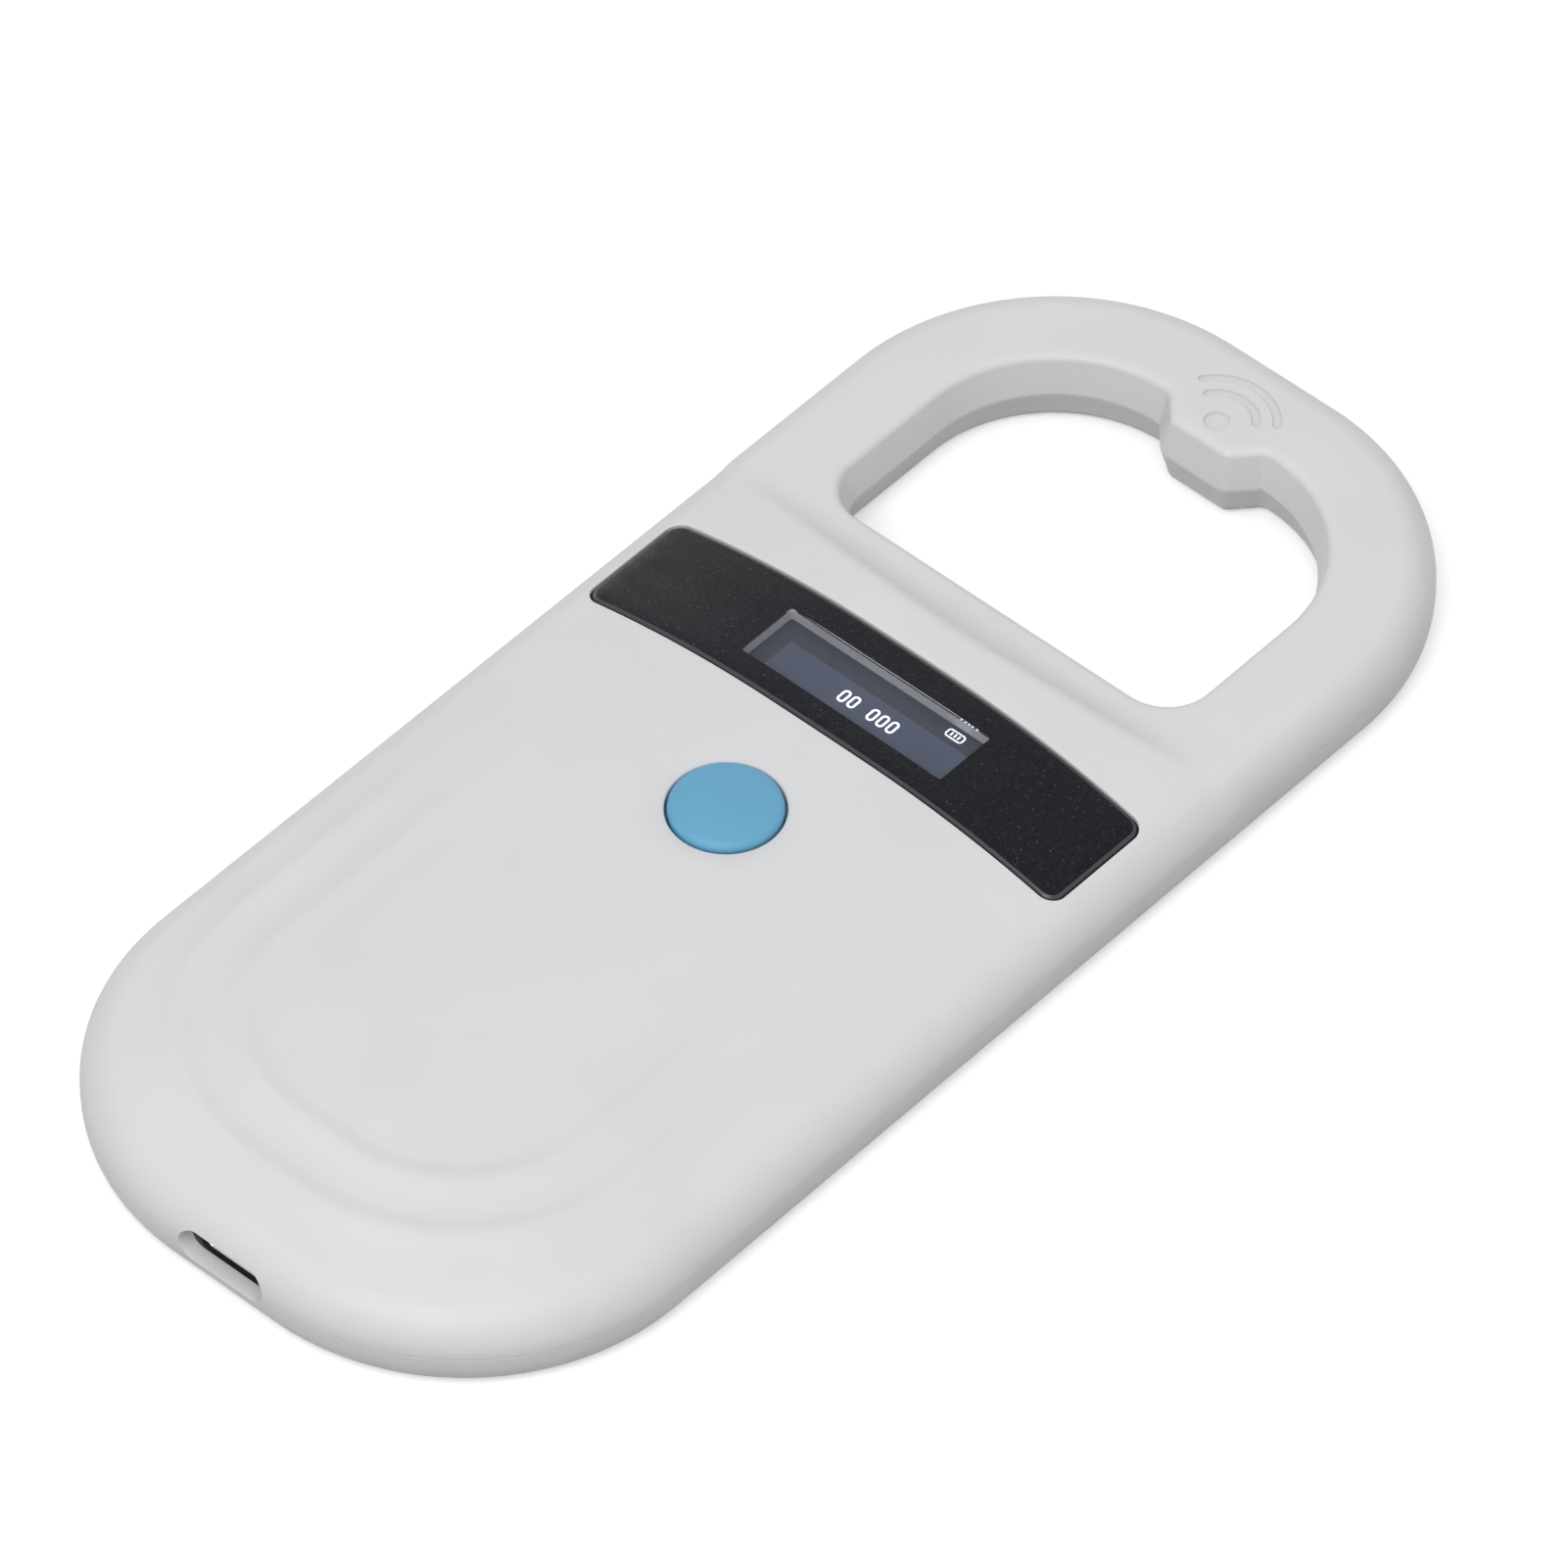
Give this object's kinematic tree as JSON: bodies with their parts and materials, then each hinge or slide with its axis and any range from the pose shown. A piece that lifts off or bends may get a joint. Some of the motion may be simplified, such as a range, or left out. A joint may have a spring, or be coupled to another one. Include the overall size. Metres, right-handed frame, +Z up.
{
  "type": "microchip scanner",
  "caption": "Hand-held pet microchip scanner: slim two-shell case with an open reading loop, a display under a dark panel, a round scan button and a charging socket.",
  "frame": {"origin": "centre of the case's footprint, on its flat underside", "axes": "+Z up through the top face, +Y along the case to the reading loop, +X to the right of the display"},
  "size_m": [0.0758, 0.1732, 0.0132],
  "materials": {
    "case_plastic": "fine satin texture",
    "panel_film": "satin with fine specks",
    "window_lens": "smoky clear",
    "display_glass": "polished",
    "button_plastic": "satin",
    "black_plastic": "moulded",
    "white_plastic": "moulded",
    "board_green": "solder mask",
    "plated_steel": "plated",
    "copper_wire": "enamelled copper",
    "battery_foil": "laminated foil",
    "foam": "closed-cell foam",
    "adhesive_tape": "tape",
    "ribbon_film": "polyimide film",
    "red_insulation": "silicone",
    "black_insulation": "silicone"
  },
  "bodies": {
    "case": {"top_shell": "case_plastic", "bottom_shell": "case_plastic", "display_panel": "panel_film", "panel_adhesive": "adhesive_tape", "display_window": "window_lens", "oled_display": "display_glass", "display_spacer": "foam", "oled_ribbon": "ribbon_film", "tactile_switch": "plated_steel", "main_board": "board_green", "controller_chip": "black_plastic", "reader_chip": "black_plastic", "charger_chip": "black_plastic", "crystal": "plated_steel", "tuning_capacitor": "ribbon_film", "buzzer": "black_plastic", "usb_socket": "plated_steel", "usb_tongue": "black_plastic", "battery": "battery_foil", "battery_pad": "foam", "battery_header": "white_plastic", "battery_plug": "white_plastic", "battery_lead_red": "red_insulation", "battery_lead_black": "black_insulation", "antenna_coil": "copper_wire", "coil_carrier": "white_plastic", "antenna_lead_1": "copper_wire", "antenna_lead_2": "copper_wire", "case_screw_1": "plated_steel", "case_screw_2": "plated_steel", "case_screw_3": "plated_steel", "case_screw_4": "plated_steel"},
    "button": {"scan_button": "button_plastic", "switch_plunger": "black_plastic"}
  },
  "joints": [
    {"name": "button_press", "type": "slide", "parent": "case", "child": "button", "axis": [0, 0, -1], "range_m": [0, 0.0005], "stiffness_N_per_m": 800, "springref_m": -0.001}
  ]
}
